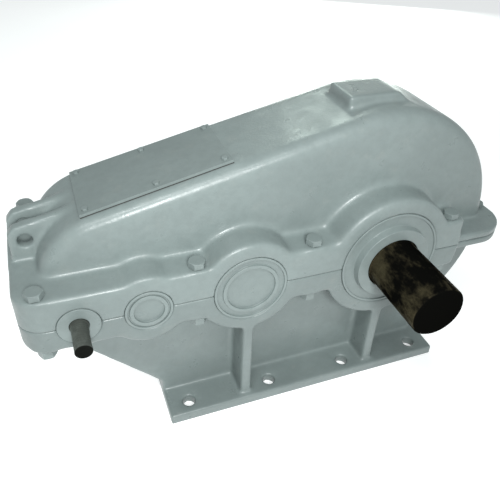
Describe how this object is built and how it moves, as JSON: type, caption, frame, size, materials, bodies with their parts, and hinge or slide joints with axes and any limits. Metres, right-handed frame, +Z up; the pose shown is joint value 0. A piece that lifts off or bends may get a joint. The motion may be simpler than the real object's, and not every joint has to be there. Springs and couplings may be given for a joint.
{
  "type": "industrial gearbox",
  "caption": "Parallel-shaft gear reducer in a split cast casing with sloping top, embedded bearing covers, bolted feet, thick output shaft and thin input shaft.",
  "frame": {"origin": "centre of the foot bolt pattern on the foot's underside", "axes": "+X along the row of shafts from the input end to the output end, +Z up, the free shaft ends point to -Y"},
  "size_m": [0.851, 0.42, 0.517],
  "materials": {
    "lower_casing_paint": "satin grey paint over cast iron",
    "upper_casing_paint": "satin grey paint over cast iron",
    "cover_paint": "satin grey paint on steel plate",
    "bearing_cover_paint": "satin grey paint over turned cast iron",
    "fastener_paint": "painted over with the casing",
    "gasket": "oiled fibre sheet",
    "seal_rubber": "matte",
    "shaft_steel": "turned steel under dark grease and light rust",
    "bearing_steel": "ground",
    "gear_steel": "hobbed, oiled",
    "machined_steel": "turned, oiled",
    "copper_washer": "annealed copper"
  },
  "bodies": {
    "casing": {"breather": "fastener_paint", "casing_bolts": "fastener_paint", "casing_nuts": "fastener_paint", "casing_washers": "fastener_paint", "dowel_pins": "machined_steel", "drain_plug": "fastener_paint", "end_flange_bolts": "fastener_paint", "end_flange_nuts": "fastener_paint", "end_flange_washers": "fastener_paint", "first_intermediate_adjusting_rings": "machined_steel", "first_intermediate_bearing_outer_rings": "bearing_steel", "first_intermediate_cover_back": "bearing_cover_paint", "first_intermediate_cover_front": "bearing_cover_paint", "input_adjusting_rings": "machined_steel", "input_bearing_outer_rings": "bearing_steel", "input_cover_back": "bearing_cover_paint", "input_cover_front": "bearing_cover_paint", "input_shaft_seal": "seal_rubber", "inspection_cover": "cover_paint", "inspection_cover_gasket": "gasket", "inspection_cover_screws": "fastener_paint", "lower_casing": "lower_casing_paint", "oil_level_plug": "fastener_paint", "output_adjusting_rings": "machined_steel", "output_bearing_outer_rings": "bearing_steel", "output_cover_back": "bearing_cover_paint", "output_cover_front": "bearing_cover_paint", "output_shaft_seal": "seal_rubber", "plug_sealing_washers": "copper_washer", "second_intermediate_adjusting_rings": "machined_steel", "second_intermediate_bearing_outer_rings": "bearing_steel", "second_intermediate_cover_back": "bearing_cover_paint", "second_intermediate_cover_front": "bearing_cover_paint", "upper_casing": "upper_casing_paint"},
    "output_shaft": {"output_shaft": "shaft_steel", "output_gear": "gear_steel", "output_gear_key": "machined_steel", "output_spacer_sleeve": "machined_steel", "output_bearing_inner_rings": "bearing_steel", "output_bearing_rollers": "bearing_steel"},
    "second_intermediate_shaft": {"second_intermediate_shaft": "machined_steel", "second_intermediate_gear": "gear_steel", "second_gear_key": "machined_steel", "second_spacer_sleeve": "machined_steel", "second_intermediate_bearing_inner_rings": "bearing_steel", "second_intermediate_bearing_rollers": "bearing_steel"},
    "first_intermediate_shaft": {"first_intermediate_shaft": "machined_steel", "first_intermediate_gear": "gear_steel", "first_gear_key": "machined_steel", "first_spacer_sleeve": "machined_steel", "first_intermediate_bearing_inner_rings": "bearing_steel", "first_intermediate_bearing_rollers": "bearing_steel"},
    "input_shaft": {"input_pinion_shaft": "shaft_steel", "input_bearing_inner_rings": "bearing_steel", "input_bearing_rollers": "bearing_steel"}
  },
  "joints": [
    {"name": "output_spin", "type": "hinge", "parent": "casing", "child": "output_shaft", "pos_m": [0.123, 0, 0.265], "axis": [0, 1, 0], "continuous": true},
    {"name": "second_intermediate_spin", "type": "hinge", "parent": "casing", "child": "second_intermediate_shaft", "pos_m": [-0.127, 0, 0.265], "axis": [0, 1, 0], "continuous": true},
    {"name": "first_intermediate_spin", "type": "hinge", "parent": "casing", "child": "first_intermediate_shaft", "pos_m": [-0.287, 0, 0.265], "axis": [0, 1, 0], "continuous": true},
    {"name": "input_spin", "type": "hinge", "parent": "casing", "child": "input_shaft", "pos_m": [-0.387, 0, 0.265], "axis": [0, 1, 0], "continuous": true}
  ],
  "couplings": [
    {"joint": "second_intermediate_spin", "follows": "output_spin", "ratio": -4},
    {"joint": "first_intermediate_spin", "follows": "output_spin", "ratio": 16},
    {"joint": "input_spin", "follows": "output_spin", "ratio": -64}
  ]
}
